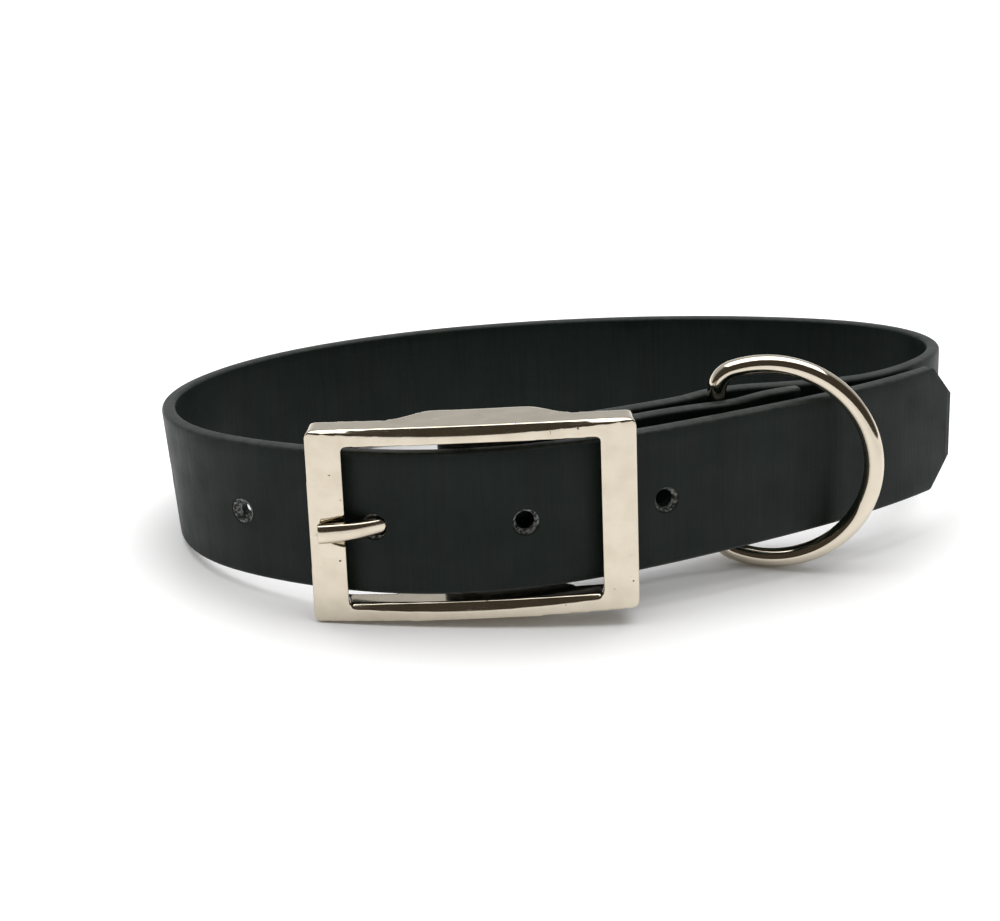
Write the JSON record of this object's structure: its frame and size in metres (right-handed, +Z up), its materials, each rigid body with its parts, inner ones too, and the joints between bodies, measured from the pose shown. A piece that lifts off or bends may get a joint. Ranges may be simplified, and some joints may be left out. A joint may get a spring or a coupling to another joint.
{
  "type": "dog collar",
  "caption": "Fastened flat webbing dog collar with a plated rectangular buckle and a leash ring that swings, lying on its edge.",
  "frame": {"origin": "centre of the bounding box at its bottom, on the surface the collar lies on", "axes": "+X along the collar's long way, towards the leash ring and the strap's tip; +Y from the buckle to the back of the neck; +Z up"},
  "size_m": [0.1584, 0.0886, 0.0413],
  "materials": {
    "coated_webbing": "satin",
    "nickel_buckle": "satin",
    "nickel_prong": "polished",
    "nickel_ring": "polished",
    "nickel_rivet": "satin"
  },
  "bodies": {
    "collar": {"strap": "coated_webbing", "buckle_frame": "nickel_buckle", "prong": "nickel_prong", "rivet_1": "nickel_rivet", "rivet_2": "nickel_rivet"},
    "ring": {"d_ring": "nickel_ring"}
  },
  "joints": [
    {"name": "ring_swing", "type": "hinge", "parent": "collar", "child": "ring", "pos_m": [0.0267, -0.01861, 0.02001], "axis": [-0.0571, 0.0529, 0.997], "range_deg": [-107, 2]}
  ]
}
